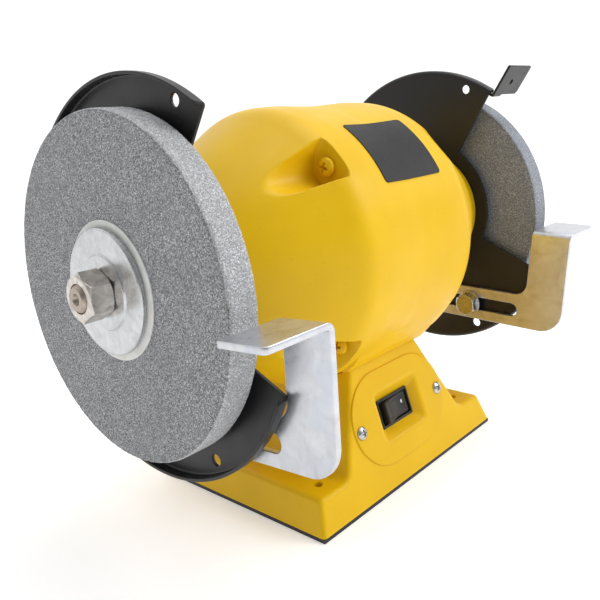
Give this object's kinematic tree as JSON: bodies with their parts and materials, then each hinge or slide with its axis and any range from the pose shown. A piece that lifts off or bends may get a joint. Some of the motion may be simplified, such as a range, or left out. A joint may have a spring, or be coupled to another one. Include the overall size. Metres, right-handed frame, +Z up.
{
  "type": "bench grinder",
  "caption": "Two-wheel bench grinder: round motor body on a flanged pedestal base with front rocker switch, a wheel with inner guard and adjustable tool rest on each end.",
  "frame": {"origin": "centre of the four bench holes, on the underside of the bottom plate", "axes": "+X along the shaft to the right wheel as seen from the switch side, -Y to the front where the switch is, +Z up"},
  "size_m": [0.2902, 0.1964, 0.217],
  "materials": {
    "yellow_paint": "gloss",
    "yellow_plastic": "semi gloss",
    "black_paint": "satin",
    "zinc": "bright zinc plate",
    "rest_sheet": "bright zinc plate",
    "nut_steel": "satin",
    "steel": "ground",
    "lamination": "varnished",
    "bearing_steel": "polished",
    "cage_brass": "plain",
    "winding": "varnished copper wire",
    "bare_aluminium": "as cast",
    "abrasive": "coarse grit",
    "blotter_paper": "matte",
    "black_plastic": "semi gloss",
    "black_rubber": "matte",
    "white_plastic": "matte",
    "lead_sleeve": "matte",
    "badge_foil": "satin"
  },
  "bodies": {
    "base": {"base_casting": "yellow_paint", "bottom_plate": "black_paint", "bottom_screws": "zinc", "switch_plate": "yellow_plastic", "switch_screws": "zinc", "switch_body": "black_plastic", "cord_grommet": "black_rubber", "capacitor": "bare_aluminium", "capacitor_clamp": "steel", "clamp_screw": "zinc", "terminal_block": "white_plastic", "earth_screw": "cage_brass", "leads": "lead_sleeve", "motor_bolts": "zinc", "motor_shell": "yellow_paint", "left_bell": "yellow_paint", "right_bell": "yellow_paint", "through_bolts": "yellow_paint", "through_nuts": "yellow_paint", "badge": "badge_foil", "stator_core": "lamination", "stator_winding": "winding", "left_bearing_outer": "bearing_steel", "right_bearing_outer": "bearing_steel", "wave_washer": "steel", "left_guard": "black_paint", "right_guard": "black_paint", "left_guard_screws": "zinc", "right_guard_screws": "zinc", "left_rest_nut": "zinc", "right_rest_nut": "zinc", "shield_bracket": "black_paint"},
    "rotor": {"shaft": "steel", "rotor_core": "lamination", "rotor_rings": "bare_aluminium", "left_bearing_inner": "bearing_steel", "right_bearing_inner": "bearing_steel", "left_inner_flange": "zinc", "right_inner_flange": "zinc", "left_wheel": "abrasive", "right_wheel": "abrasive", "left_blotters": "blotter_paper", "right_blotters": "blotter_paper", "left_outer_flange": "zinc", "right_outer_flange": "zinc", "left_nut": "nut_steel", "right_nut": "nut_steel"},
    "left_ball_set": {"left_balls": "bearing_steel", "left_cage": "cage_brass"},
    "right_ball_set": {"right_balls": "bearing_steel", "right_cage": "cage_brass"},
    "rocker": {"rocker": "black_plastic"},
    "left_clamp": {"left_rest_bolt": "zinc", "left_rest_washer": "zinc"},
    "left_rest": {"left_rest": "rest_sheet"},
    "right_clamp": {"right_rest_bolt": "zinc", "right_rest_washer": "zinc"},
    "right_rest": {"right_rest": "rest_sheet"}
  },
  "joints": [
    {"name": "rotor_spin", "type": "hinge", "parent": "base", "child": "rotor", "pos_m": [0, 0, 0.1265], "axis": [1, 0, 0], "continuous": true},
    {"name": "left_ball_set_spin", "type": "hinge", "parent": "base", "child": "left_ball_set", "pos_m": [-0.0975, 0, 0.1265], "axis": [1, 0, 0], "continuous": true},
    {"name": "right_ball_set_spin", "type": "hinge", "parent": "base", "child": "right_ball_set", "pos_m": [0.0975, 0, 0.1265], "axis": [1, 0, 0], "continuous": true},
    {"name": "rocker_press", "type": "hinge", "parent": "base", "child": "rocker", "pos_m": [0, -0.04194, 0.0336], "axis": [0, -0.2926, -0.9562], "range_deg": [0, 18]},
    {"name": "left_rest_tilt", "type": "hinge", "parent": "base", "child": "left_clamp", "pos_m": [-0.105, -0.0315, 0.0648], "axis": [1, 0, 0], "range_deg": [-1.5, 15]},
    {"name": "left_rest_slide", "type": "slide", "parent": "left_clamp", "child": "left_rest", "axis": [0, -0.9981, 0.061], "range_m": [-0.0025, 0.013]},
    {"name": "right_rest_tilt", "type": "hinge", "parent": "base", "child": "right_clamp", "pos_m": [0.105, -0.0315, 0.0648], "axis": [1, 0, 0], "range_deg": [-1, 15]},
    {"name": "right_rest_slide", "type": "slide", "parent": "right_clamp", "child": "right_rest", "axis": [0, -0.999, -0.0436], "range_m": [-0.0008, 0.021]}
  ],
  "couplings": [
    {"joint": "left_ball_set_spin", "follows": "rotor_spin", "ratio": 0.4},
    {"joint": "right_ball_set_spin", "follows": "rotor_spin", "ratio": 0.4}
  ]
}
